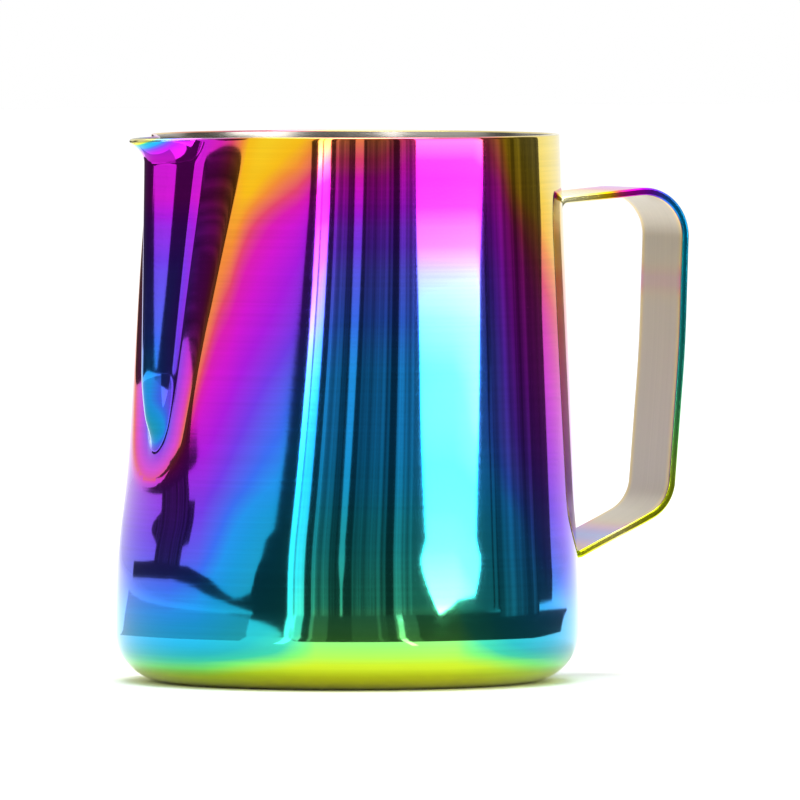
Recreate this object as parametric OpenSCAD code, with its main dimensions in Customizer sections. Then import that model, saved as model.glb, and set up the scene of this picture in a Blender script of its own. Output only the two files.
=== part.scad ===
// Milk frothing pitcher, 600 ml: a deep drawn steel body with a pressed spout,
// a flat strap handle bent into a closed loop, and the spot welds that join them.
// The body stands on z = 0 around the Z axis. The spout points to -X, the handle to +X.
// Millimetres throughout.

/* [Body] */

// Height of the rim above the resting face
height = 110; // [104:1:118]
// Outer radius of the body at its widest, just above the foot
belly_r = 46.75; // [46:0.05:48]
// Outer radius of the mouth, away from the spout
mouth_r = 42.65; // [42:0.05:43.2]
// Small step inward above the foot, where the straight cone begins
shoulder = 0.25; // [0.1:0.05:0.5]
// Radius of the rounded corner between wall and base
corner_r = 10; // [8:0.5:11]
// Thickness of the steel sheet
wall = 1.0; // [0.8:0.05:1.2]

/* [Spout] */

// Height of the lowest point of the pressed area
spout_low = 40.8; // [38:0.2:44]
// Radius of the rounded lower end of the pressed area
spout_end_r = 12; // [11:0.1:13]
// Angle of each crease from the vertical, in degrees
spout_spread = 12.2; // [11:0.2:13]
// Depth of the pressed cheeks
cheek_depth = 1.3; // [1:0.1:1.5]
// Width of the slope beside the crease
cheek_run = 10; // [8:0.5:12]
// Softness of the crease
crease_soft = 0.5; // [0.4:0.1:1]
// How far the wall beside the spout is drawn in by the pressing, at half height
draw_in = 1.3; // [0.8:0.1:1.5]
// Radius from the body axis to the ridge of the nose, at the rim
nose_r = 44.3; // [43.8:0.1:44.8]
// How far the curled lip would reach beyond the nose at full height
lip_reach = 5.5; // [4:0.25:6]
// Height below the rim at which the lip starts to curl
lip_height = 5.7; // [5:0.1:6.5]

/* [Handle] */

// Width of the strap
strap_w = 18.4; // [14:0.2:20]
// Thickness of the strap
strap_t = 1.5; // [1.2:0.1:1.8]
// Width of the broken edges of the strap
strap_edge = 0.35; // [0.2:0.05:0.5]
// Reach of the handle from the body axis to its outer face
handle_reach = 73; // [68:0.5:80]
// Gap left where the two ends of the strap meet behind the body
seam_gap = 0.3; // [0.1:0.1:1]

/* [Welds] */

// Diameter of each weld nugget
weld_d = 4; // [3:0.5:5]
// Distance of each nugget from the centre line of the strap
weld_side = 4.5; // [3.5:0.1:5.5]
// Height of the upper pair of nuggets
weld_high = 89; // [87:0.5:90]
// Height of the lower pair of nuggets
weld_low = 30; // [29:0.5:32]

/* [Hidden] */

// Clearance between the back of the strap and the wall, filled by the weld nuggets
strap_gap = 0.15;
// Clearance of each nugget from the two sheets it joins
weld_fit = 0.02;
// Heights at which the back of the strap follows the wall
strap_touch = [27, 94];
// Height at which the straight cone would start from the belly
cone_start = 19;
// Slope of the straight cone
cone = (belly_r - shoulder - mouth_r) / (height - cone_start);
// Growth of the most the wall is drawn in, with height
draw_grow = 0.019;
// Azimuth from the spout at which the drawing-in ends, and how softly it passes the spout
draw_end = 97;
draw_round = 12;
// Inward lean of the ridge of the nose, and steepness of its flanks
nose_lean = 0.022;
nose_side = 1.66;
// Centre height of the rounded lower end of the pressed area
spout_mid = spout_low + spout_end_r;

// 0 to 1 with a soft start and end
function soft(t) = let (c = max(0, min(1, t))) c * c * (3 - 2 * c);

// ---- body surface ----

// The larger of two lengths, rounded over where they cross
function smooth_max(p, q, k) = let (h = max(0, min(1, 0.5 + (p - q) / (2 * k))))
    q * (1 - h) + p * h + k * h * (1 - h);

// Outer radius of the round body at a height
function round_r(z) =
    z < corner_r
    ? belly_r - corner_r + sqrt(corner_r * corner_r - (corner_r - z) * (corner_r - z))
    : belly_r
      - shoulder * soft((z - 14) / 16)
      - cone * (z < 26 ? pow(max(0, z - 12), 2) / 28 : z - cone_start);

// The most the wall is drawn in at a height
function draw_most(z) = draw_in + draw_grow * (z - spout_low);

// How far the wall is drawn in beside the spout, at an azimuth from the spout
function draw(a, z) =
    let (ramp = z < 32 ? pow(max(0, z - 22), 2) / 20 : z - 27,
         t = min(1, ramp / (height - 27)),
         side = 0.00112 * pow(max(0, draw_end - norm([a, draw_round])), 2) * (1 - pow(1 - t, 1.5)))
    -smooth_max(-side, -draw_most(z), 0.5);
function wall_r(a, z) = round_r(z) - draw(a, z);

// Half width of the pressed area at a height, measured along the wall
function spout_half(z) = spout_end_r / cos(spout_spread)
    + tan(spout_spread) * (max(z, spout_mid - spout_end_r * sin(spout_spread)) - spout_mid);

// Azimuth of the crease from the middle of the spout
function crease_a(z) = 180 / PI * spout_half(z)
    / (round_r(max(z, 12)) - draw_most(z) * soft((z - 26) / 20));

// Distance inside the crease of a point s along the wall and z up, negative outside it
function inside_crease(s, z) =
    let (a = abs(s), h = z - spout_mid,
         up = a * sin(spout_spread) + h * cos(spout_spread))
    up < 0
    ? spout_end_r - norm([a, h])
    : spout_end_r - (a * cos(spout_spread) - h * sin(spout_spread));

// Depth of the pressed cheeks at a distance inside the crease
function cheek(d) =
    let (g = (d + sqrt(d * d + crease_soft * crease_soft)) / 2)
    cheek_depth * (1 - pow(1 - min(1, g / cheek_run), 2)) * soft(1 + (d + 0.5) / 6);

// Polar radius of the V-shaped nose: two flanks that meet in a rounded ridge
function nose(a, z) =
    let (tip = nose_r + nose_lean * (height - z) - 2.6 * (1 - soft((z - 39) / 24)),
         q = 6 + 0.1 * max(-20, z - 56),
         k = tip + nose_side * q, rest = k * k - pow(nose_side * q, 2),
         t = min(abs(a), 89))
    rest / (k * cos(t) + nose_side * sqrt(pow(q * cos(t), 2) + rest * pow(sin(t), 2)));

// The curled pouring lip
function lip(s, z) = lip_reach * exp(-pow(s / 6.5, 2))
    * pow(max(0, (z - height + lip_height) / (lip_height - 0.5)), 2.1);

// Outer surface at an azimuth from the spout and a height
function skin_r(a, z) =
    let (w = wall_r(a, z), s = a * PI / 180 * w, base = w - cheek(inside_crease(s, z)),
         out = smooth_max(nose(a, z), base, 1) - base)
    base + out * soft((z - 44) / 10) + lip(s, z);
function skin(a, z) = let (r = skin_r(a, z)) [-r * cos(a), -r * sin(a), z];

// Height of the cut edge at an azimuth: the sheet is cut level before the lip is curled
function edge_z(a) = let (s = a * PI / 180 * mouth_r)
    height - 0.9 * exp(-pow(s / 8.5, 2)) - 0.3 * soft(2 - abs(s) / 14);

// Unit normal of the outer surface, pointing out
function skin_n(a, z) =
    let (u = skin(a + 0.4, z) - skin(a - 0.4, z), v = skin(a, z + 0.2) - skin(a, z - 0.2),
         c = cross(u, v))
    c / norm(c);

// Columns: a count across the spout, then the rest of the way round
spout_cols = 22;
rest_cols = 54;
cols = spout_cols + rest_cols;
function column_a(i, z) =
    let (half = crease_a(z))
    i <= spout_cols
    ? half * (2 * i / spout_cols - 1)
    : half + (360 - 2 * half) * (i - spout_cols) / rest_cols;

// Rows: the corner in equal angles, then heights up the wall, scaled to the cut edge
corner_rows = 6;
levels = concat([for (z = [13 : 4 : 33]) z], [for (z = [36 : 3 : 39]) z],
                [for (z = [41 : 2 : 55]) z], [for (z = [58 : 4 : 98]) z],
                [102, 104.5, 106, 107.3, 108.4, 109.2]);
function level_z(j, a) =
    j <= corner_rows
    ? corner_r * (1 - cos(90 * j / corner_rows))
    : j - corner_rows - 1 < len(levels)
      ? corner_r + (levels[j - corner_rows - 1] - corner_r) * (edge_z(a) - corner_r) / (110 - corner_r)
      : edge_z(a);
rows = corner_rows + len(levels) + 2;

// Signed azimuth from the spout, for the spout shape functions
function signed(a) = a > 180 ? a - 360 : a;

function outer_point(i, j) =
    let (a0 = column_a(i, level_z(j, 180)), z = level_z(j, signed(a0)), a = signed(column_a(i, z)))
    skin(a, z);
function inner_point(i, j) =
    let (a0 = column_a(i, level_z(j, 180)), z = level_z(j, signed(a0)), a = signed(column_a(i, z)))
    j <= corner_rows
    ? let (t = 90 * j / corner_rows, r = belly_r - corner_r + (corner_r - wall) * sin(t))
      [-r * cos(a), -r * sin(a), corner_r - (corner_r - wall) * cos(t)]
    : skin(a, z) - wall * skin_n(a, z);

// Two triangles for each cell between two rings of points
function band(from, to, n) = [
    for (i = [0 : n - 1], k = [0, 1])
        let (j = (i + 1) % n)
        k == 0 ? [from + i, to + i, to + j] : [from + i, to + j, from + j]
];
// A fan from one point to a ring
function fan(centre, ring, n, up) = [
    for (i = [0 : n - 1])
        up ? [centre, ring + (i + 1) % n, ring + i] : [centre, ring + i, ring + (i + 1) % n]
];

module body() {
    outer = [for (j = [0 : rows - 1], i = [0 : cols - 1]) outer_point(i, j)];
    inner = [for (j = [rows - 1 : -1 : 0], i = [0 : cols - 1]) inner_point(i, j)];
    points = concat(outer, inner, [[0, 0, 0], [0, 0, wall]]);
    skins = [for (j = [0 : 2 * rows - 2]) each band(j * cols, (j + 1) * cols, cols)];
    base = fan(2 * rows * cols, 0, cols, false);
    floor_in = fan(2 * rows * cols + 1, (2 * rows - 1) * cols, cols, true);
    color([0.55, 0.25, 0.7])
        polyhedron(points, concat(skins, base, floor_in), convexity = 6);
}

// ---- strap handle ----

// The back of the strap is straight up and down and touches near both ends
strap_slope = (round_r(strap_touch[0]) - round_r(strap_touch[1]))
    / (strap_touch[1] - strap_touch[0]);
function strap_back(z) = round_r(strap_touch[1]) + strap_gap + strap_slope * (strap_touch[1] - z);

// Corners of the outer outline of the loop with their bend radii: [x, z, radius]
seam_z = 60;
top_z = 97;
low_z = 22.8;
corners = [
    [strap_back(top_z), top_z, 2.6],
    [handle_reach, top_z + 0.09 * (handle_reach - strap_back(top_z)), 10],
    [handle_reach - 1.15, 66, 250],
    [handle_reach - 3.85, low_z + 0.4925 * (handle_reach - 3.85 - strap_back(low_z)), 9],
    [strap_back(low_z), low_z, 2.2]
];
start = [strap_back(seam_z + seam_gap / 2), seam_z + seam_gap / 2];
finish = [strap_back(seam_z - seam_gap / 2), seam_z - seam_gap / 2];

function unit(v) = v / norm(v);
function at(i) = i < 0 ? start : i >= len(corners) ? finish : [corners[i][0], corners[i][1]];

// Stations along the bend at corner i: [x, z, normal x, normal z], the normal pointing out of the loop
function bend(i) =
    let (p = at(i), before = unit(p - at(i - 1)), after = unit(at(i + 1) - p),
         turn = acos(before * after), r = corners[i][2],
         from = p - before * r * tan(turn / 2),
         n = [-before[1], before[0]],
         steps = max(2, ceil(turn / 11)))
    [for (k = [0 : steps])
        let (t = turn * k / steps, out = n * cos(t) + before * sin(t),
             q = from - n * r + out * r)
        [q[0], q[1], out[0], out[1]]];

// Stations between two others, without the ends
function between(p, q, n) = [for (k = [1 : n - 1]) p + (q - p) * k / n];
function end_station(p, toward) =
    let (d = unit(toward - p)) [p[0], p[1], -d[1], d[0]];

bends = [for (i = [0 : len(corners) - 1]) bend(i)];
first = end_station(start, at(0));
last = let (d = unit(finish - at(4))) [finish[0], finish[1], -d[1], d[0]];
stations = concat(
    [first], between(first, bends[0][0], 4), bends[0],
    between(bends[0][len(bends[0]) - 1], bends[1][0], 5), bends[1],
    between(bends[1][len(bends[1]) - 1], bends[2][0], 2), bends[2],
    between(bends[2][len(bends[2]) - 1], bends[3][0], 2), bends[3],
    between(bends[3][len(bends[3]) - 1], bends[4][0], 5), bends[4],
    between(bends[4][len(bends[4]) - 1], last, 4), [last]);

// Cross-section of the strap: [across, depth below the outer face]
strap_cells = 8;
half_w = strap_w / 2;
section = concat(
    [for (k = [0 : strap_cells])
        [-half_w + strap_edge + (strap_w - 2 * strap_edge) * k / strap_cells, 0]],
    [[half_w, strap_edge], [half_w, strap_t - strap_edge]],
    [for (k = [strap_cells : -1 : 0])
        [-half_w + strap_edge + (strap_w - 2 * strap_edge) * k / strap_cells, strap_t]],
    [[-half_w, strap_t - strap_edge], [-half_w, strap_edge]]);

// The strap hugs the round wall: its sides sit back from the centre line near the body
function hug(y, x, z) = let (r = strap_back(z))
    (r - sqrt(r * r - y * y)) * soft(1 - (x - r - 3) / 14);
function strap_point(station, spot) =
    let (x = station[0] - station[2] * spot[1], z = station[1] - station[3] * spot[1])
    [x - hug(spot[0], station[0], station[1]), spot[0], z];

module handle() {
    n = len(section);
    m = len(stations);
    points = [for (j = [0 : m - 1], i = [0 : n - 1]) strap_point(stations[j], section[i])];
    sides = [for (j = [0 : m - 2]) each band(j * n, (j + 1) * n, n)];
    starts = [for (i = [1 : n - 2]) [0, i, i + 1]];
    ends = [for (i = [1 : n - 2]) [(m - 1) * n, (m - 1) * n + i + 1, (m - 1) * n + i]];
    color([0.6, 0.62, 0.6])
        polyhedron(points, concat(sides, starts, ends), convexity = 6);
}

// ---- welds ----

// One nugget: the part of the thin space between wall and strap that lies within a cylinder
module nugget(y, z) {
    lo = z - weld_d;
    hi = z + weld_d;
    intersection() {
        rotate_extrude($fn = 180)
            polygon([
                [round_r(lo) + weld_fit, lo], [strap_back(lo) - weld_fit, lo],
                [strap_back(hi) - weld_fit, hi], [round_r(hi) + weld_fit, hi],
                [round_r(z) + weld_fit, z]
            ]);
        translate([30, y, z])
            rotate([0, 90, 0])
                cylinder(h = 30, d = weld_d, $fn = 48);
    }
}

module welds() {
    color([0.75, 0.75, 0.72])
        for (y = [-weld_side, weld_side], z = [weld_low, weld_high])
            nugget(y, z);
}

body();
handle();
welds();
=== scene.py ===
"""Looks of the milk frothing pitcher: body, strap handle and studio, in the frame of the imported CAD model."""

import math

import bpy
import numpy as np
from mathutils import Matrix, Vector


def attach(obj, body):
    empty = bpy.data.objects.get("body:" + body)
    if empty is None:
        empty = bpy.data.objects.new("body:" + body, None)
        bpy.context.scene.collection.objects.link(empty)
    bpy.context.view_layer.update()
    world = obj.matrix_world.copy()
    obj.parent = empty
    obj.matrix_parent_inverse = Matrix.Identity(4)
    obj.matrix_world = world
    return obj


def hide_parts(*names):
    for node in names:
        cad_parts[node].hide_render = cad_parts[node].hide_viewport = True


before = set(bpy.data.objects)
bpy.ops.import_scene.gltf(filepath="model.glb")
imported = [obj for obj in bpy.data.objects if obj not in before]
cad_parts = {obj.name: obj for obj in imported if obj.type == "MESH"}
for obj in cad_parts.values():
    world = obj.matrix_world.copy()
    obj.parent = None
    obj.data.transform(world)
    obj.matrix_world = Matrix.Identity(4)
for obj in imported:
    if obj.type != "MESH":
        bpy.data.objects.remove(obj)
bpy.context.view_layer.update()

MM = 0.001

# ---------------------------------------------------------------- pitcher sizes, millimetres and degrees

HEIGHT = 110.0
BELLY_R = 46.75
MOUTH_R = 42.65
CORNER_R = 10.0
WALL = 1.0
# Small step inward above the foot
SHOULDER = 0.25
SHOULDER_LOW = 14.0
SHOULDER_RUN = 16.0
# Heights between which the wall bends over into its straight cone, and the slope of that cone
CONE_BEND = (12.0, 26.0)
CONE = (BELLY_R - SHOULDER - MOUTH_R) / (HEIGHT - sum(CONE_BEND) / 2)

# Drawing-in of the wall beside the spout: strength, azimuth where it ends, softness, limit and its growth
PULL = 0.00112
PULL_END = 97.0
PULL_ROUND = 12.0
PULL_MOST = 1.3
PULL_GROW = 0.019
PULL_BEND = (22.0, 32.0)
PULL_POWER = 1.5
PULL_SOFT = 0.5

# Pressed area of the spout: a round lower end and two creases that spread upwards
SPOUT_LOW = 40.8
SPOUT_END_R = 12.0
SPOUT_MID = SPOUT_LOW + SPOUT_END_R
SPOUT_SPREAD = math.radians(12.2)
CHEEK_DEPTH = 1.3
CHEEK_RUN = 10.0
CHEEK_FADE = 6.0
CREASE_SOFT = 0.5

# Nose of the spout: radius of its ridge at the rim, lean of the ridge, how far and where its foot is tucked
# in, steepness of its flanks, and roundness of the ridge, which grows with height
NOSE_R = 44.3
NOSE_LEAN = 0.022
NOSE_TUCK = 2.6
NOSE_TUCK_LOW = 39.0
NOSE_TUCK_RUN = 24.0
NOSE_SIDE = 1.66
NOSE_ROUND = 6.0
NOSE_ROUND_GROW = 0.1
NOSE_ROUND_Z = 56.0
NOSE_ROUND_MOST = 20.0
NOSE_BLEND = 1.0
NOSE_START = 44.0
NOSE_RUN = 10.0

# Curled pouring lip: reach, half width, height where it starts, height of full reach, and power of its curl
LIP_REACH = 5.5
LIP_HALF = 6.5
LIP_LOW = 104.3
LIP_FULL = 109.5
LIP_CURL = 2.1
# Dips of the cut edge: a narrow one at the lip and a wide one around it
LIP_DIP = 0.9
LIP_DIP_HALF = 8.5
EDGE_DIP = 0.3
EDGE_DIP_HALF = 14.0
EDGE_ROUND = 0.35

STRAP_W = 18.4
STRAP_T = 1.5
STRAP_EDGE = 0.4
REACH = 73.0
STRAP_TOP = 97.0
STRAP_LOW = 22.8
SEAM_Z = 60.0
SEAM_GAP = 0.3
STRAP_GAP = 0.15
TOUCH_LOW = 27.0
TOUCH_HIGH = 94.0


def soft(t):
    """0 to 1 with a soft start and end."""
    c = np.clip(t, 0.0, 1.0)
    return c * c * (3 - 2 * c)


def fade(x, start, run):
    """0 up to start, then softly up to 1 over the run."""
    return soft((x - start) / run)


def ramp(z, start, end):
    """0 up to start, then a parabola that runs into a line of slope 1 at end."""
    return np.where(z < end, np.maximum(0, z - start) ** 2 / (2 * (end - start)), z - (start + end) / 2)


def smooth_max(p, q, k):
    """The larger of two lengths, rounded over where they cross."""
    h = np.clip(0.5 + 0.5 * (p - q) / k, 0, 1)
    return q * (1 - h) + p * h + k * h * (1 - h)


def bump(x, half):
    """A round hill of height 1 about zero."""
    return np.exp(-((x / half) ** 2))


def curve(x, points):
    """Height of a line through (x, y) points."""
    return np.interp(x, *zip(*points))


# ---------------------------------------------------------------- shape of the body


def round_r(z):
    """Outer radius of the round body at a height."""
    z = np.asarray(z, float)
    below = CORNER_R - np.minimum(z, CORNER_R)
    corner = BELLY_R - CORNER_R + np.sqrt(np.maximum(0, CORNER_R**2 - below**2))
    wall = BELLY_R - SHOULDER * fade(z, SHOULDER_LOW, SHOULDER_RUN) - CONE * ramp(z, *CONE_BEND)
    return np.where(z < CORNER_R, corner, wall)


def pull_most(z):
    """The most the wall is drawn in at a height."""
    return PULL_MOST + PULL_GROW * (z - SPOUT_LOW)


def pull(a, z):
    """How far the wall is drawn in beside the spout; a in degrees from the spout."""
    climb = ramp(z, *PULL_BEND) / (HEIGHT - sum(PULL_BEND) / 2)
    rise = 1 - (1 - np.clip(climb, 0, 1)) ** PULL_POWER
    side = PULL * np.maximum(0, PULL_END - np.hypot(a, PULL_ROUND)) ** 2 * rise
    return -smooth_max(-side, -pull_most(z), PULL_SOFT)


def spout_side_r(z):
    """Radius of the wall where the creases run, which turns lengths along it into angles."""
    return round_r(np.maximum(z, 12)) - pull_most(z) * fade(z, 26, 20)


def crease_deg(z):
    """Azimuth of the crease from the middle of the spout, in degrees."""
    up = np.maximum(z - SPOUT_MID, -SPOUT_END_R * math.sin(SPOUT_SPREAD))
    half = SPOUT_END_R / math.cos(SPOUT_SPREAD) + math.tan(SPOUT_SPREAD) * up
    return np.degrees(half / spout_side_r(z))


def inside_crease(s, z):
    """Distance inside the crease of a point s along the wall, negative outside."""
    h = z - SPOUT_MID
    side = np.abs(s)
    up = side * math.sin(SPOUT_SPREAD) + h * math.cos(SPOUT_SPREAD)
    round_end = SPOUT_END_R - np.hypot(side, h)
    straight = SPOUT_END_R - (side * math.cos(SPOUT_SPREAD) - h * math.sin(SPOUT_SPREAD))
    return np.where(up < 0, round_end, straight)


def cheek(d):
    """Depth of the pressed cheeks at a distance inside the crease."""
    run = (d + np.hypot(d, CREASE_SOFT)) / 2
    return CHEEK_DEPTH * (1 - (1 - np.minimum(1, run / CHEEK_RUN)) ** 2) * soft(1 + (d + 0.5) / CHEEK_FADE)


def nose_r(a, z):
    """Polar radius of the V-shaped nose: two flanks that meet in a rounded ridge."""
    tuck = NOSE_TUCK * (1 - fade(z, NOSE_TUCK_LOW, NOSE_TUCK_RUN))
    tip = NOSE_R + NOSE_LEAN * (HEIGHT - z) - tuck
    q = NOSE_ROUND + NOSE_ROUND_GROW * np.maximum(-NOSE_ROUND_MOST, z - NOSE_ROUND_Z)
    k = tip + NOSE_SIDE * q
    rest = k * k - (NOSE_SIDE * q) ** 2
    t = np.radians(np.minimum(np.abs(a), 89))
    c, s = np.cos(t), np.sin(t)
    return rest / (k * c + NOSE_SIDE * np.sqrt(c * c * q * q + s * s * rest))


def lip(s, z):
    """Outward reach of the curled lip, s along the wall from its middle."""
    return LIP_REACH * bump(s, LIP_HALF) * np.maximum(0, (z - LIP_LOW) / (LIP_FULL - LIP_LOW)) ** LIP_CURL


def skin_r(a, z):
    """Outer radius at an azimuth from the spout, in degrees, and a height."""
    wall = round_r(z) - pull(a, z)
    s = np.radians(a) * wall
    base = wall - cheek(inside_crease(s, z))
    out = smooth_max(nose_r(a, z), base, NOSE_BLEND) - base
    return base + out * fade(z, NOSE_START, NOSE_RUN) + lip(s, z)


def skin(a, z):
    """Point of the outer surface."""
    r = skin_r(a, z)
    t = np.radians(a)
    return np.stack([-r * np.cos(t), -r * np.sin(t), z + 0 * r], -1)


def unit(v):
    return v / np.linalg.norm(v, axis=-1, keepdims=True)


def skin_normal(a, z):
    """Unit normal of the outer surface, from two short steps across it."""
    along = skin(a + 0.15, z) - skin(a - 0.15, z)
    up = skin(a, z + 0.1) - skin(a, z - 0.1)
    return unit(np.cross(along, up))


def edge_z(a):
    """Height of the cut edge at an azimuth."""
    s = np.radians(a) * MOUTH_R
    return HEIGHT - LIP_DIP * bump(s, LIP_DIP_HALF) - EDGE_DIP * soft(2 - np.abs(s) / EDGE_DIP_HALF)


# ---------------------------------------------------------------- camera

VIEW_TURN = math.radians(26)
CAM_DIST = 3400.0
CAM_HIGH = 174.0
CAM_LENS = 761
AIM_RIGHT = 10.6
AIM_HIGH = 56.4

to_camera = Vector((-math.sin(VIEW_TURN), -math.cos(VIEW_TURN), 0))
to_right = Vector((math.cos(VIEW_TURN), -math.sin(VIEW_TURN), 0))


def make_camera():
    data = bpy.data.cameras.new("camera")
    data.lens = CAM_LENS
    data.sensor_width = 36
    data.clip_start = 0.05
    data.clip_end = 50
    cam = bpy.data.objects.new("camera", data)
    bpy.context.scene.collection.objects.link(cam)
    cam.location = (to_camera * CAM_DIST + Vector((0, 0, CAM_HIGH))) * MM
    target = (to_right * AIM_RIGHT + Vector((0, 0, AIM_HIGH))) * MM
    cam.rotation_euler = (target - cam.location).to_track_quat("-Z", "Y").to_euler()
    return cam


bpy.context.scene.camera = make_camera()

# ---------------------------------------------------------------- materials

# Rainbow of the coating: place along it, and colour as red, green and blue from 0 to 255.
# It runs from pale straw, where the coat is thinnest, through magenta and blue to lime.
COAT = [
    (-0.20, (250, 245, 190)),
    (-0.10, (250, 230, 120)),
    (-0.02, (250, 210, 30)),
    (0.04, (250, 190, 10)),
    (0.08, (245, 140, 50)),
    (0.14, (230, 65, 110)),
    (0.20, (220, 15, 180)),
    (0.26, (210, 5, 210)),
    (0.36, (170, 15, 225)),
    (0.47, (115, 55, 235)),
    (0.58, (55, 110, 245)),
    (0.64, (25, 150, 240)),
    (0.70, (10, 155, 220)),
    (0.80, (15, 160, 190)),
    (0.87, (25, 165, 170)),
    (0.92, (50, 185, 150)),
    (0.945, (115, 220, 105)),
    (0.97, (195, 220, 40)),
    (1.00, (215, 220, 30)),
    (1.10, (235, 225, 90)),
    (1.20, (240, 230, 150)),
]
COAT_LOW = COAT[0][0]
COAT_HIGH = COAT[-1][0]

# Brushing: change of tone, of roughness and of height across the fine lines
BRUSH_TONE = (0.93, 1.02)
BRUSH_ROUGH = 0.04
BRUSH_BUMP = 0.02
BRUSH_DEPTH = 0.00004
# How much rougher bare steel is than the coating
BARE_ROUGH = 0.22


def linear(rgb):
    """Linear colour from 0-255 display values."""
    out = []
    for v in rgb:
        v /= 255
        out.append(v / 12.92 if v <= 0.04045 else ((v + 0.055) / 1.055) ** 2.4)
    return (*out, 1.0)


def node(tree, kind, **values):
    """A new shader node with some of its settings."""
    n = tree.nodes.new(kind)
    for key, value in values.items():
        setattr(n, key, value)
    return n


def map_range(tree, source, target, **limits):
    """Links source through a range to target; limits are from_min, from_max, to_min and to_max."""
    n = node(tree, "ShaderNodeMapRange")
    for key, value in limits.items():
        n.inputs[key.replace("_", " ").title()].default_value = value
    tree.links.new(source, n.inputs["Value"])
    tree.links.new(n.outputs["Result"], target)


def stretched_noise(tree, stretch, **values):
    """Noise in the object's own space, stretched along its axes."""
    place = node(tree, "ShaderNodeTexCoord")
    mapping = node(tree, "ShaderNodeMapping")
    mapping.inputs["Scale"].default_value = stretch
    noise = node(tree, "ShaderNodeTexNoise")
    noise.inputs["Scale"].default_value = 1.0
    for key, value in values.items():
        noise.inputs[key].default_value = value
    tree.links.new(place.outputs["Object"], mapping.inputs["Vector"])
    tree.links.new(mapping.outputs["Vector"], noise.inputs["Vector"])
    return noise.outputs["Fac"]


def coat_colour(tree):
    """Colour of the coating from the point value "coat"."""
    coat = node(tree, "ShaderNodeAttribute", attribute_name="coat")
    rainbow = node(tree, "ShaderNodeValToRGB")
    elements = rainbow.color_ramp.elements
    elements[0].color = linear(COAT[0][1])
    elements[1].color = linear(COAT[-1][1])
    for at, rgb in COAT[1:-1]:
        elements.new((at - COAT_LOW) / (COAT_HIGH - COAT_LOW)).color = linear(rgb)
    map_range(tree, coat.outputs["Fac"], rainbow.inputs["Fac"], from_min=COAT_LOW, from_max=COAT_HIGH)
    return rainbow.outputs["Color"]


def multiply_add(tree, value, factor, add, target):
    """Links value * factor + add to target; add is a number or a socket."""
    n = node(tree, "ShaderNodeMath", operation="MULTIPLY_ADD")
    n.inputs[1].default_value = factor
    tree.links.new(value, n.inputs[0])
    if isinstance(add, float):
        n.inputs[2].default_value = add
    else:
        tree.links.new(add, n.inputs[2])
    tree.links.new(n.outputs["Value"], target)


def coat_material(name, steel, grain, roughness, veil=0.0, dull=0.0):
    """Rainbow coated steel, plain steel where the point value "bare" is 1.

    grain is the fineness of the brushing along x, y and z; veil is the share of a clear top layer; dull is
    how much less metallic the bare steel is.
    """
    mat = bpy.data.materials.new(name)
    mat.use_nodes = True
    tree = mat.node_tree
    link = tree.links.new
    shader = tree.nodes["Principled BSDF"]
    shader.inputs["Coat Weight"].default_value = veil
    shader.inputs["Coat Roughness"].default_value = 0.08
    bare = node(tree, "ShaderNodeAttribute", attribute_name="bare").outputs["Fac"]
    lines = stretched_noise(tree, grain, Detail=3.0)
    # colour: the coating or the steel, a little darker and lighter along the brushing
    mix = node(tree, "ShaderNodeMix", data_type="RGBA")
    mix.inputs["B"].default_value = linear(steel)
    link(bare, mix.inputs["Factor"])
    link(coat_colour(tree), mix.inputs["A"])
    wear = node(tree, "ShaderNodeMix", data_type="RGBA", blend_type="MULTIPLY")
    wear.inputs["Factor"].default_value = 1.0
    link(mix.outputs["Result"], wear.inputs["A"])
    darker, lighter = BRUSH_TONE
    map_range(tree, lines, wear.inputs["B"], from_min=0.3, from_max=0.7, to_min=darker, to_max=lighter)
    link(wear.outputs["Result"], shader.inputs["Base Color"])
    multiply_add(tree, bare, -dull, 1.0, shader.inputs["Metallic"])
    # roughness: more on bare steel, and changing along the brushing
    rough = node(tree, "ShaderNodeMapRange")
    rough.inputs["To Min"].default_value = roughness
    rough.inputs["To Max"].default_value = roughness + BRUSH_ROUGH
    link(lines, rough.inputs["Value"])
    multiply_add(tree, bare, BARE_ROUGH, rough.outputs["Result"], shader.inputs["Roughness"])
    scratches = node(tree, "ShaderNodeBump")
    scratches.inputs["Strength"].default_value = BRUSH_BUMP
    scratches.inputs["Distance"].default_value = BRUSH_DEPTH
    link(lines, scratches.inputs["Height"])
    link(scratches.outputs["Normal"], shader.inputs["Normal"])
    return mat


def card_light(name, strength=1.0, streaks=0.0, graded=False):
    """White light of a studio card.

    streaks is the share by which upright bands change the strength. A graded card takes its strength from
    the point value "level" of its mesh.
    """
    mat = bpy.data.materials.new(name)
    mat.use_nodes = True
    tree = mat.node_tree
    tree.nodes.clear()
    glow = node(tree, "ShaderNodeEmission")
    glow.inputs["Strength"].default_value = strength
    if graded:
        level = node(tree, "ShaderNodeAttribute", attribute_name="level")
        tree.links.new(level.outputs["Fac"], glow.inputs["Strength"])
    elif streaks:
        bands = stretched_noise(tree, (45, 45, 0.8), Detail=5.0, Roughness=0.75)
        low, high = strength * (1 - streaks), strength * (1 + 2 * streaks)
        map_range(tree, bands, glow.inputs["Strength"], from_min=0.38, from_max=0.66, to_min=low, to_max=high)
    out = node(tree, "ShaderNodeOutputMaterial")
    tree.links.new(glow.outputs["Emission"], out.inputs["Surface"])
    return mat


# ---------------------------------------------------------------- meshes


def grid_mesh(points, closed=True):
    """Points and quads of a grid of rows; closed joins the last column to the first."""
    rows, cols = points.shape[:2]
    here = np.arange(rows * cols).reshape(rows, cols)
    beside = np.roll(here, -1, axis=1)
    if not closed:
        here, beside = here[:, :-1], here[:, 1:]
    quads = np.stack([here[:-1], beside[:-1], beside[1:], here[1:]], -1)
    return points.reshape(-1, 3), [tuple(q) for q in quads.reshape(-1, 4).tolist()]


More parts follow.
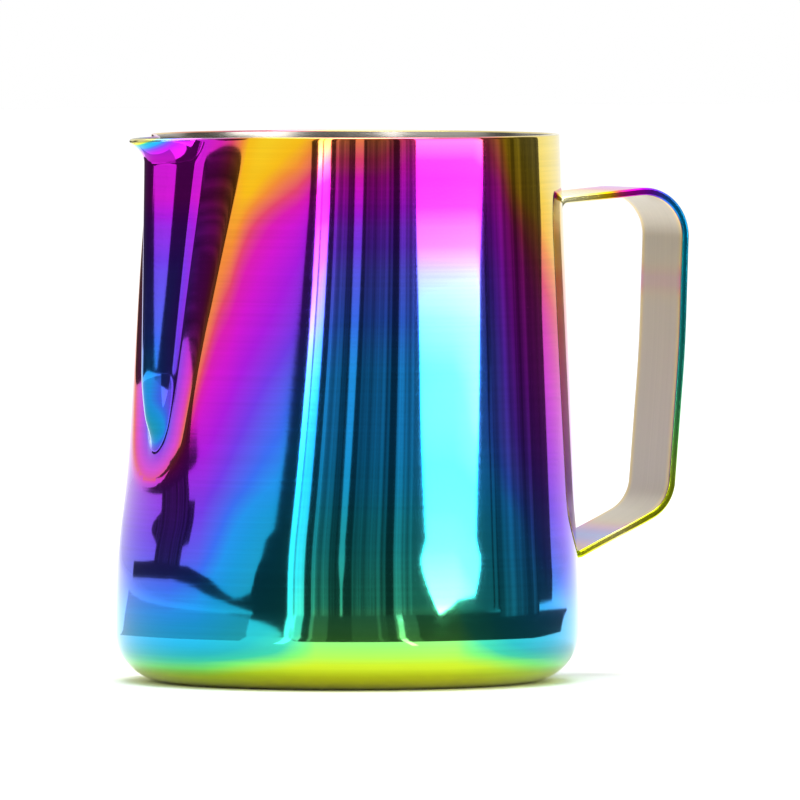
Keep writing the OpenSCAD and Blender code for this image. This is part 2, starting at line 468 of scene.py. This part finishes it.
def capped(points):
    """A closed grid with a flat face over its first row and over its last."""
    verts, faces = grid_mesh(points)
    n = points.shape[1]
    last = len(verts) - n
    return verts, faces + [tuple(range(n - 1, -1, -1)), tuple(range(last, last + n))]


def build(name, verts, faces, values, material):
    """A smooth object from points in millimetres; each of values is one number a point."""
    mesh = bpy.data.meshes.new(name)
    mesh.from_pydata([tuple(v) for v in (verts * MM)], [], faces)
    for key, numbers in values.items():
        attribute = mesh.attributes.new(key, "FLOAT", "POINT")
        attribute.data.foreach_set("value", np.asarray(numbers, np.float32).reshape(-1))
    mesh.polygons.foreach_set("use_smooth", [True] * len(mesh.polygons))
    mesh.materials.append(material)
    mesh.update()
    obj = bpy.data.objects.new(name, mesh)
    bpy.context.scene.collection.objects.link(obj)
    return obj


# Place on the rainbow against height: where the coat is thickest, and where it is thinnest. The change between
# the two across the azimuth is partly painted sheen.
THICK = [
    (0, 1.02), (2, 1.0), (4, 0.98), (7, 0.957), (12, 0.938), (16, 0.926), (20, 0.91), (28, 0.872),
    (34, 0.825), (40, 0.74), (46, 0.695), (52, 0.672), (62, 0.65), (68, 0.62), (74, 0.58), (83, 0.53),
    (92, 0.43), (98, 0.28), (104, 0.16), (110, 0.09),
]
THIN = [
    (0, 1.0), (2.5, 0.965), (5.5, 0.916), (8.5, 0.78), (14.5, 0.64), (20.5, 0.57), (26.5, 0.5),
    (38.5, 0.41), (50.5, 0.29), (63, 0.19), (75, 0.12), (87, 0.03), (99, -0.07), (110, -0.1),
]
# Share of the thick coat against the azimuth from the spout: low on the body, and high on it. This is partly a
# real coat that is thicker on one side, and partly painted sheen: the coating's hue shift with viewing angle,
# fixed onto the surface around the side that faces the camera.
SHARE_LOW = [
    (14, 0), (24, 0.1), (30, 0.3), (34, 0.45), (38, 0.57), (42, 0.68), (46, 0.76), (50, 0.88), (56, 1),
    (92, 1), (102, 0.8), (108, 0.6), (114, 0.42), (120, 0.25), (126, 0.12), (134, 0),
]
SHARE_HIGH = [
    (20, 0), (30, 0.13), (34, 0.27), (38, 0.38), (42, 0.48), (46, 0.58), (50, 0.67), (54, 0.82), (58, 0.94),
    (62, 1), (100, 1), (106, 0.8), (110, 0.6), (114, 0.4), (120, 0.25), (126, 0.15), (136, 0),
]
# Share of the nose colour against the distance inside the crease
SHARE_PRESSED = [(0, 0), (3, 0.3), (5, 0.48), (8, 0.74), (12, 1)]
# Colour of the line along the crease against height: a painted highlight of the rounded crease, where the
# surface rolls over, given as a hue shift
CREASE_HIGHLIGHT_HUE = [(40, 0.15), (50, 0.1), (88, 0.08), (108, 0.04)]
# Thinnest colour of the nose
NOSE_HUE = 0.27
# Thicker coat on the side of the body at the rim: how much, and between which azimuths
CROWN = 0.055
CROWN_FROM = 72.0
CROWN_TO = 116.0


def coat_value(points):
    """Place on the rainbow of points of the body."""
    x, y, z = np.moveaxis(points, -1, 0)
    a = np.degrees(np.arctan2(np.abs(y), -x))
    s = np.radians(a) * spout_side_r(z)
    inside = inside_crease(s, z)
    # the round body, which changes with height, and with the azimuth partly as painted sheen: the coating's hue
    # shift with viewing angle, fixed onto the surface
    high = fade(z, 46, 34)
    share = curve(a, SHARE_LOW) * (1 - high) + curve(a, SHARE_HIGH) * high
    value = curve(z, THIN) * (1 - share) + curve(z, THICK) * share
    # a painted orange highlight beside the crease, where the rounded crease rolls over
    hue = curve(z, CREASE_HIGHLIGHT_HUE)
    beside = 0.9 * bump(inside, 2.6) * fade(z, 37, 7)
    value = value * (1 - beside) + hue * beside
    # the pressed area, from the crease in to the nose
    deep = np.maximum(curve(z, THICK) * (1 - 0.07 * fade(z, 60, 12)), NOSE_HUE)
    value = np.where(inside > 0, hue + (deep - hue) * curve(inside, SHARE_PRESSED), value)
    curl = 0.95 * soft(lip(s, z) / LIP_REACH / 0.8) * bump(s, 12)
    foot = 0.2 * (1 - fade(z, 50, 8)) * fade(inside, 5, 5)
    crown = CROWN * fade(a, CROWN_FROM, 10) * (1 - fade(a, CROWN_TO - 8, 8)) * fade(z, 88, 14)
    return value + curl + foot + crown


# Columns of the body: a close set across the spout, out to this many times the crease, then the rest
SPOUT_SHARE = 1.2
SPOUT_COLS = 110
REST_COLS = 130
BASE_RINGS = (0.5, 20, 34)
CORNER_STEPS = 21


def body_columns(z):
    """Signed azimuths of the columns at a height, or at a height for each column."""
    half = SPOUT_SHARE * crease_deg(np.asarray(z, float))
    right = np.concatenate([np.linspace(0, 1, SPOUT_COLS + 1), 1 + np.linspace(0, 1, REST_COLS + 1)[1:]])
    place = np.concatenate([right, -right[-2:0:-1]])
    size = np.abs(place)
    return np.sign(place) * np.where(size <= 1, size * half, half + (size - 1) * (180 - half))


def make_body(material):
    """The sheet steel body: up the outside, over the cut edge and down the inside."""
    rows, bare = [], []

    def add(points, plain):
        rows.append(points)
        bare.append(np.full(len(points), plain))

    t = np.radians(body_columns(20.0))
    out = np.stack([-np.cos(t), -np.sin(t), 0 * t], -1)
    up = np.array([0, 0, 1.0])
    corner = np.radians(np.linspace(0, 90, CORNER_STEPS))
    for r in BASE_RINGS:
        add(out * r, 0.0)
    for c in corner:
        add(out * (BELLY_R - CORNER_R + CORNER_R * math.sin(c)) + up * CORNER_R * (1 - math.cos(c)), 0.0)
    # up the wall, in closer steps near the lip, to just under the cut edge
    top = edge_z(body_columns(HEIGHT))
    levels = np.concatenate([np.linspace(0, 0.9, 118)[1:], np.linspace(0.9, 1, 26)[1:]])
    heights = [CORNER_R + f * (1 - EDGE_ROUND / 100) * (top - CORNER_R) for f in levels]
    for z in heights:
        add(skin(body_columns(z), z), 0.0)
    rim_a = body_columns(heights[-1])
    rim = skin(rim_a, heights[-1])
    n = skin_normal(rim_a, heights[-1])
    rise = unit(np.cross(n, np.cross(up, n)))
    for c in np.radians(np.linspace(30, 150, 5)):
        add(rim - n * WALL * 0.5 * (1 - math.cos(c)) + rise * EDGE_ROUND * math.sin(c), 0.35)
    down = heights[::-1]
    for z in down[:20:4] + down[24::4]:
        a = body_columns(z)
        add(skin(a, z) - skin_normal(a, z) * WALL, 1.0)
    for c in corner[::-2]:
        r = CORNER_R - WALL
        add(out * (BELLY_R - CORNER_R + r * math.sin(c)) + up * (CORNER_R - r * math.cos(c)), 1.0)
    for r in BASE_RINGS[::-1]:
        add(out * r + up * WALL, 1.0)
    points = np.stack(rows)
    verts, faces = capped(points)
    values = {"coat": coat_value(points), "bare": np.concatenate(bare)}
    return build("pitcher_body", verts, faces, values, material)


def strap_back(z):
    """Distance of the back of the strap from the axis at a height."""
    slope = (round_r(TOUCH_LOW) - round_r(TOUCH_HIGH)) / (TOUCH_HIGH - TOUCH_LOW)
    return float(round_r(TOUCH_HIGH) + STRAP_GAP + slope * (TOUCH_HIGH - z))


def strap_line():
    """Outer outline of the loop: stations of (x, z, out x, out z)."""
    grip_low = REACH - 3.85
    corners = [
        (strap_back(STRAP_TOP), STRAP_TOP, 2.6),
        (REACH, STRAP_TOP + 0.09 * (REACH - strap_back(STRAP_TOP)), 10),
        (REACH - 1.15, 66, 250),
        (grip_low, STRAP_LOW + 0.4925 * (grip_low - strap_back(STRAP_LOW)), 9),
        (strap_back(STRAP_LOW), STRAP_LOW, 2.2),
    ]
    ends = [SEAM_Z + SEAM_GAP / 2, SEAM_Z - SEAM_GAP / 2]
    start, finish = [np.array([strap_back(z), z]) for z in ends]
    path = [start] + [np.array(corner[:2]) for corner in corners] + [finish]
    stations = []

    def push(p, n):
        stations.append((*p, *n))

    def straight(p, q, n, steps):
        for k in range(1, steps):
            push(p + (q - p) * k / steps, n)

    along = unit(path[1] - path[0])
    previous = start
    push(start, (-along[1], along[0]))
    for i, (_, _, r) in enumerate(corners):
        p = path[i + 1]
        before, after = unit(p - path[i]), unit(path[i + 2] - p)
        turn = math.acos(float(np.clip(before @ after, -1, 1)))
        first = p - before * r * math.tan(turn / 2)
        n = np.array([-before[1], before[0]])
        straight(previous, first, n, max(2, int(math.dist(first, previous) / 1.5)))
        steps = max(3, math.ceil(math.degrees(turn) / 3))
        for k in range(steps + 1):
            t = turn * k / steps
            out = n * math.cos(t) + before * math.sin(t)
            push(first - n * r + out * r, out)
        previous = np.array(stations[-1][:2])
    n = np.array(stations[-1][2:])
    straight(previous, finish, n, int(math.dist(finish, previous) / 1.5))
    push(finish, n)
    return np.array(stations)


# Faces of the strap's section
OUTER, EDGE, INNER = 0, 0.5, 1


def strap_section():
    """Points of the strap's section, (across, depth below the outer face), and the face each is on."""
    w = STRAP_W / 2
    e = STRAP_EDGE
    section, face = [], []

    def add(across, depth, kind):
        section.append((across, depth))
        face.append(kind)

    for y in np.linspace(-w + e, w - e, 25):
        add(y, 0, OUTER)
    for c in np.radians((22.5, 45, 67.5, 90)):
        add(w - e + e * math.sin(c), e - e * math.cos(c), OUTER)
    for c in np.radians((0, 22.5, 45, 67.5)):
        add(w - e + e * math.cos(c), STRAP_T - e + e * math.sin(c), EDGE)
    for y in np.linspace(w - e, -w + e, 25):
        add(y, STRAP_T, INNER)
    for c in np.radians((22.5, 45, 67.5, 90)):
        add(-w + e - e * math.sin(c), STRAP_T - e + e * math.cos(c), EDGE)
    for c in np.radians((0, 22.5, 45, 67.5)):
        add(-w + e - e * math.cos(c), e - e * math.sin(c), OUTER)
    return np.array(section), np.array(face)


# Place on the rainbow against the length along the strap from its upper end
STRAP_COAT = [
    (0, -0.2), (38, -0.2), (42, -0.15), (47, 0), (50, 0.17), (53.6, 0.25), (57, 0.42), (60.3, 0.58),
    (66, 0.7), (75, 0.8), (88, 0.88), (100, 0.92), (120, 0.965), (132, 1.0), (138, 1.18), (146, 1.0),
    (155, 0.9), (175, 0.72), (217, 0.65),
]
# Lengths at which the lower and the upper bend show a painted tint of shade and reflection on the inner face
LOW_BEND_AT = 141.0
TOP_BEND_AT = 80.0


def make_handle(material):
    """The strap bent into a loop, its back hugging the round wall."""
    line = strap_line()
    section, face = strap_section()
    x, z, out_x, out_z = (column[:, None] for column in line.T)
    across, depth = section.T
    back = np.array([[strap_back(height)] for height in line[:, 1]])
    hug = (back - np.sqrt(back * back - across * across)) * soft(1 - (x - back - 3) / 14)
    points = np.stack([x - out_x * depth - hug, across + 0 * x, z - out_z * depth], -1)
    verts, faces = capped(points)
    # colour: the coating on the outer face and the edges, and steel on the inner face, with a blue tint at the
    # bends that is painted shade and reflection
    steps = np.hypot(*np.diff(line[:, :2], axis=0).T)
    length = np.r_[0, np.cumsum(steps)][:, None] + 0 * across
    edge = soft((np.abs(across) - STRAP_W / 2 + 2.2) / 1.6)
    # painted shade and reflection: a blue tint where the inner face turns at the lower bend, weaker at the
    # upper bend
    bend = bump(length - LOW_BEND_AT, 4.5) + 0.35 * bump(length - TOP_BEND_AT, 3)
    bare = np.where(face == INNER, 1 - 0.4 * edge * (1 - bend) - 0.45 * bend, 0.0)
    coat = np.where(face == INNER, 0.6 * bend - 0.03 * (1 - bend), curve(length, STRAP_COAT))
    return build("strap_handle", verts, faces, {"coat": coat, "bare": bare}, material)


body_steel = coat_material("rainbow_steel", (165, 160, 152), grain=(18, 18, 1500), roughness=0.03, veil=0.22)
strap_steel = coat_material("rainbow_strap", (190, 184, 166), grain=(8, 1800, 8), roughness=0.14, dull=0.5)
body = make_body(body_steel)
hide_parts("body")
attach(body, "root")
handle = make_handle(strap_steel)
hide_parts("handle")
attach(handle, "root")
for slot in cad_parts["welds"].material_slots:
    slot.material = strap_steel

# ---------------------------------------------------------------- studio

# Distance of the cards from the pitcher's axis, and of those in front of them, in mm
FAR = 1000.0
SKIRT_FAR = 998.5
SOFTBOX_FAR = 998.0
# Heights between which a full card stands
LOW = -60
TOP = 700
DARK = 0.08


def make_world():
    world = bpy.data.worlds.new("studio")
    bpy.context.scene.world = world
    world.use_nodes = True
    world.node_tree.nodes["Background"].inputs["Color"].default_value = (1, 1, 1, 1)
    world.node_tree.nodes["Background"].inputs["Strength"].default_value = 1.0


def around(az, distance, height):
    """Points round the pitcher: degrees right of the camera, distance from the axis and height."""
    t = np.radians(az)[..., None]
    flat = np.cos(t) * np.array(to_camera) + np.sin(t) * np.array(to_right)
    return flat * np.asarray(distance)[..., None] + np.array([0, 0, 1.0]) * np.asarray(height)[..., None]


def across(low, high, steps):
    """Rows of numbers from low to high, which are columns."""
    return low[:, None] + (high - low)[:, None] * np.linspace(0, 1, steps)


def stage_card(name, points, material, **values):
    """A card that shows only in reflections."""
    verts, faces = grid_mesh(points, closed=False)
    obj = build(name, verts, faces, values, material)
    obj.visible_camera = False
    obj.visible_diffuse = False
    obj.visible_shadow = False


def card(name, left, right, strength=1.0, streaks=0.0, distance=FAR, levels=None):
    """An upright card. left and right are lists of (height mm, degrees right of the camera).

    levels, when given, is a list of (height mm, strength) used in place of one strength.
    """
    corners = np.unique([height for height, _ in left + right])
    heights = np.unique(np.concatenate([np.linspace(corners[0], corners[-1], 24), corners]))
    az = across(curve(heights, left), curve(heights, right), 17)
    points = around(az, distance, heights[:, None])
    if levels:
        level = curve(heights, levels)[:, None] + 0 * az
        stage_card(name, points, card_light(name, graded=True), level=level)
    else:
        stage_card(name, points, card_light(name, strength, streaks))


def upright(name, az0, az1, strength, streaks=0.0, low=LOW, top=TOP, distance=FAR):
    """A card with straight sides."""
    card(name, [(low, az0), (top, az0)], [(low, az1), (top, az1)], strength, streaks, distance)


def skirt(name, lower, upper, strength):
    """A low card whose lower and upper edges are lists of (degrees right of the camera, height mm)."""
    az = np.arange(lower[0][0], lower[-1][0] + 0.1, 1.0)
    heights = across(curve(az, lower), curve(az, upper), 5)
    stage_card(name, around(az[:, None], SKIRT_FAR, heights), card_light(name, strength))


def floor_ring(name, inner, outer, strength, lift=0.3):
    """A part of the table in reflections. inner and outer are lists of (degrees right of the camera, mm)."""
    first, last = inner[0][0], inner[-1][0]
    az = np.linspace(first, last, 2 + round((last - first) / 2))
    reach = across(curve(az, inner), curve(az, outer), 9)
    stage_card(name, around(az[:, None], reach, lift), card_light(name, strength))


def make_left_cards():
    """Dark cards on the side of the spout."""
    card(
        "flag_far_left",
        [(46, -112), (132, -112), (145, -118), (194, -125), (212, -118), (240, -112), (TOP, -112)],
        [(46, -87), (92, -87), (98, -91), (148, -91), (156, -87), (TOP, -87)],
        0.09,
        streaks=0.5,
    )
    skirt(
        "skirt_left",
        [
            (-133, 16), (-131, 18), (-115, 32), (-102, 41), (-94, 48), (-80, 44), (-61.5, 26), (-46.7, 6),
            (-32, -21), (-29, -25),
        ],
        [
            (-133, 54), (-112, 91), (-86, 100), (-75, 73), (-64.4, 50), (-57, 37), (-53, 40), (-48, 52),
            (-46.7, 70), (-29, 80),
        ],
        DARK,
    )
    card(
        "flag_left",
        [
            (LOW, -46.7), (66, -46.7), (90, -46), (120, -44.5), (139, -42.5), (150, -40), (163, -36),
            (171, -33.6), (TOP, -31),
        ],
        [(LOW, -29), (TOP, -29)],
        DARK,
    )


# Upright bands in front of the pitcher: name, from and to in degrees, strength, streaks
BANDS = [
    ("strip_a", -29, -26.4, 3.0, 0),
    ("strip_b", -26.4, -25.4, 1.2, 0),
    ("strip_c", -25.4, -21, 2.2, 0.2),
    ("gap_a", -21, -17.4, 0.08, 0),
    ("line_a", -17.4, -15.8, 0.7, 0.3),
    ("shade_a", -15.8, -9, 0.28, 0.5),
    ("gap_b", -9, -5.5, 0.1, 0.5),
    ("shade_b", 2, 14, 0.2, 0.55),
    ("line_c", 14, 15.4, 0.35, 0),
    ("shade_c", 15.4, 18.4, 0.18, 0.5),
    ("gap_e", 18.4, 22.4, 0.06, 0),
    ("shade_d", 22.4, 26.4, 0.5, 0.3),
    ("shade_e", 26.4, 33, 0.3, 0.5),
]
# Edges of a bright line that leans to the left as it rises: height, degrees right of the camera
LINE_LEFT = [(LOW, -3.5), (70, -3.5), (175, -5.4), (TOP, -5.4)]
LINE_RIGHT = [(LOW, -2.4), (70, -2.4), (175, 0), (TOP, 0)]


def make_front_cards():
    """The narrow bright and dark bands in front of the pitcher."""
    for band in BANDS:
        upright(*band)
    upright("strip_a_high", -29, -26.4, 9.0, low=152, distance=FAR - 1)
    upright("strip_c_high", -25.4, -21, 6.0, 0.2, low=156, distance=FAR - 1)
    card("gap_c", [(LOW, -5.5), (TOP, -5.5)], LINE_LEFT, 0.1)
    card("line_b", LINE_LEFT, LINE_RIGHT, 0.9)
    card("gap_d", LINE_RIGHT, [(LOW, 2), (TOP, 2)], 0.07)


# The softbox: its two sides, as height and degrees right of the camera, and its strength against height
SOFTBOX_LEFT = [(2, 45.2), (58, 40.3), (86, 37.4), (102, 35.6), (119, 34.8), (147, 32.6), (TOP, 32.6)]
SOFTBOX_RIGHT = [
    (2, 46), (6, 47.7), (33, 55.1), (40, 64.9), (71, 67.9), (86, 69.9), (107, 71.9), (125, 73.4), (153, 77.4),
    (TOP, 77.4),
]
SOFTBOX_LEVELS = [(LOW, 15), (100, 15), (125, 8), (165, 4.6), (TOP, 4)]


def make_right_cards():
    """The softbox on the right, the grey behind it and the dark card beside it."""
    card("softbox_right", SOFTBOX_LEFT, SOFTBOX_RIGHT, distance=SOFTBOX_FAR, levels=SOFTBOX_LEVELS)
    upright("behind_softbox", 32, 79, 0.25)
    far_side = [(LOW, 119), (-16, 120), (27, 122), (84, 122), (106, 125), (TOP, 125)]
    card("flag_right", [(LOW, 76), (TOP, 76)], far_side, DARK, streaks=0.4)


def make_near_cards():
    """Dark cards close to the pitcher: one for the nose of the spout, one for the side of the strap."""
    card(
        "flag_near_spout",
        [(65, -133), (70, -136), (80, -141), (90, -150), (125, -158)],
        [(65, -121), (74, -112), (84, -97), (96, -90), (125, -86)],
        0.07,
        distance=150.0,
    )
    upright("flag_near_strap", 66, 91, 0.16, 0.6, low=12, top=125, distance=113.0)


# The near edge of the table, as the foot of the pitcher mirrors it: degrees right of the camera, mm
NEAR = [(-60, 760), (-47, 480), (-32, 305), (-22, 160), (-18, 140), (90, 140), (122, 230), (135, 400)]
TABLE_END = 985


def table_wedge(name, az0, az1, strength, near=None):
    """A wedge of the table from its near edge, or from a distance, out to its end."""
    inner = [(az, near or curve(az, NEAR)) for az in (az0, az1)]
    floor_ring(name, inner, [(az0, TABLE_END), (az1, TABLE_END)], strength, lift=0.6)


def make_table_reflections():
    """The table as the foot mirrors it, with the bright bands that stand behind it."""
    floor_ring("table_left", [(-138, 150), (-47, 150)], [(-138, TABLE_END), (-47, TABLE_END)], 0.87)
    floor_ring("table_edge", NEAR, [(-60, 980), (70, 980), (100, 600), (118, 515), (135, 430)], 0.1)
    for name, az0, az1, strength, _ in BANDS:
        if strength > 0.15:
            table_wedge(name + "_low", az0, az1, 0.75 * strength)
    table_wedge("glint_left", -28.5, -24.5, 4.0, near=100)
    table_wedge("glint_mid", 23.6, 26.2, 5.0, near=85)


FLOOR_HALF = 6.0
FLOOR_DROP = 0.0001


def make_floor():
    """The plain pale floor, in metres, a hair below the foot."""
    mesh = bpy.data.meshes.new("floor")
    corners = [(x * FLOOR_HALF, y * FLOOR_HALF, 0) for x, y in ((-1, -1), (1, -1), (1, 1), (-1, 1))]
    mesh.from_pydata(corners, [], [(0, 1, 2, 3)])
    obj = bpy.data.objects.new("floor", mesh)
    bpy.context.scene.collection.objects.link(obj)
    obj.location.z = -FLOOR_DROP
    mat = bpy.data.materials.new("pale_floor")
    mat.use_nodes = True
    shader = mat.node_tree.nodes["Principled BSDF"]
    shader.inputs["Base Color"].default_value = (0.93, 0.93, 0.92, 1)
    shader.inputs["Roughness"].default_value = 0.7
    mesh.materials.append(mat)


def make_lamps():
    """A large soft lamp overhead and a very soft sun, which light the floor and the inside."""
    lamp = bpy.data.lights.new("overhead", "AREA")
    lamp.shape = "SQUARE"
    lamp.size = 1.2
    lamp.energy = 22
    sun = bpy.data.lights.new("soft_sun", "SUN")
    sun.energy = 0.45
    sun.angle = math.radians(70)
    for light, height in ((lamp, 1.6), (sun, 0)):
        obj = bpy.data.objects.new(light.name, light)
        bpy.context.scene.collection.objects.link(obj)
        obj.location = (0, 0, height)


make_world()
make_left_cards()
make_front_cards()
make_right_cards()
make_near_cards()
make_table_reflections()
make_floor()
make_lamps()

bpy.context.scene.view_settings.view_transform = "Standard"
